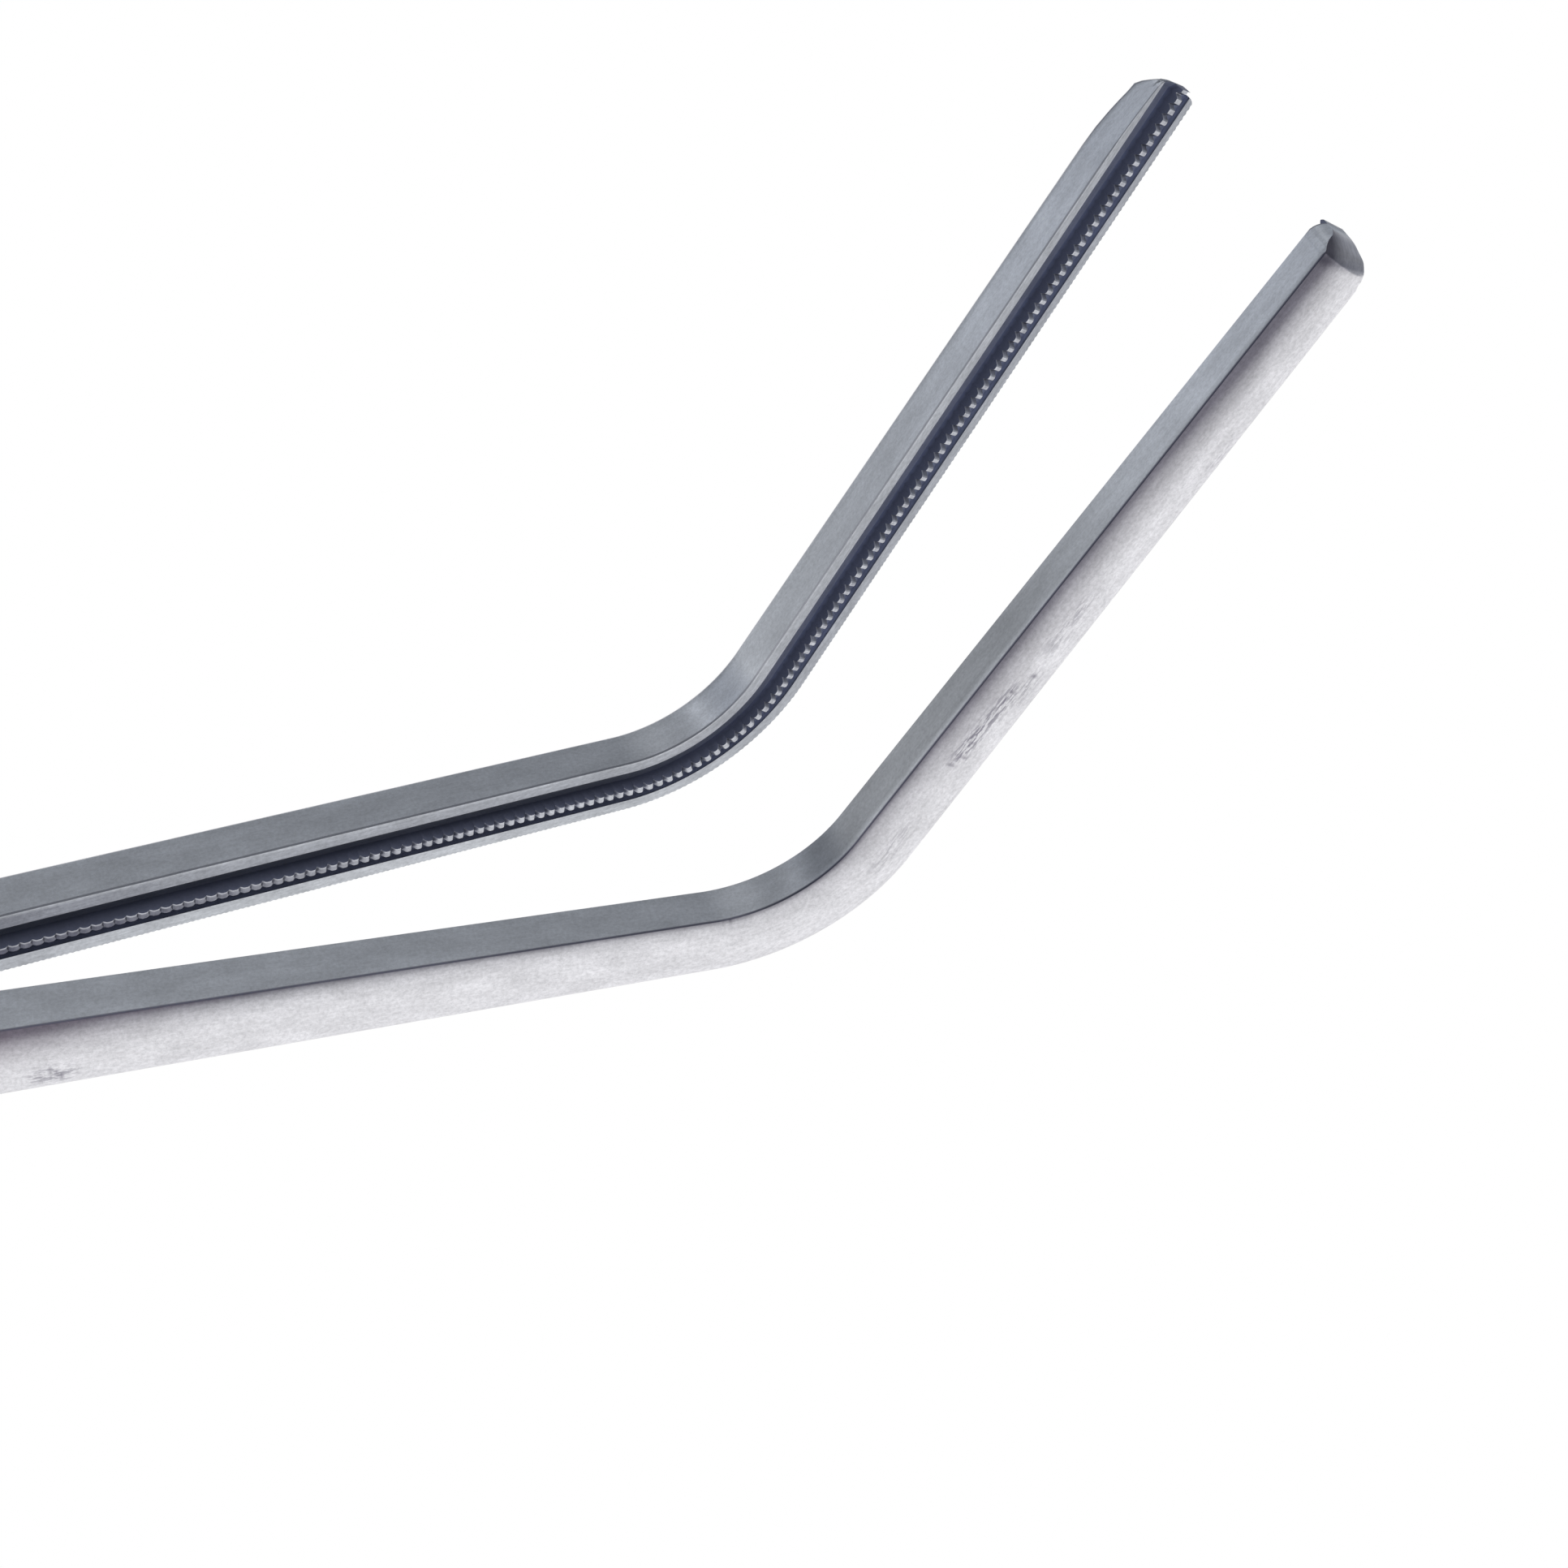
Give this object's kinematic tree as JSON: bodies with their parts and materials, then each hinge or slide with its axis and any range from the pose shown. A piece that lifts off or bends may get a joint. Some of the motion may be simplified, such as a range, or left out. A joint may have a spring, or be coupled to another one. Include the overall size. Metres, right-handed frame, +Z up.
{
  "type": "aortic clamp",
  "caption": "Long angled vascular clamp with toothed gripping jaws, a box lock, a ratchet catch and finger rings.",
  "frame": {"origin": "on the pin's axis at the underside of the box lock", "axes": "+X toward the jaws, +Z up along the pin, the jaws open along Y"},
  "size_m": [0.2758, 0.0896, 0.0587],
  "materials": {
    "satin_steel": "satin, finely brushed along each bar, with scuffed backs and darker grooves",
    "pin_steel": "ground flush with the cheeks, slightly darker than the forging"
  },
  "bodies": {
    "female_side": {"female_half": "satin_steel", "pivot_pin": "pin_steel"},
    "male_side": {"male_half": "satin_steel"}
  },
  "joints": [
    {"name": "lock_hinge", "type": "hinge", "parent": "female_side", "child": "male_side", "pos_m": [0, 0, 0.004], "axis": [0, 0, 1], "range_deg": [-8.82, 24]}
  ]
}
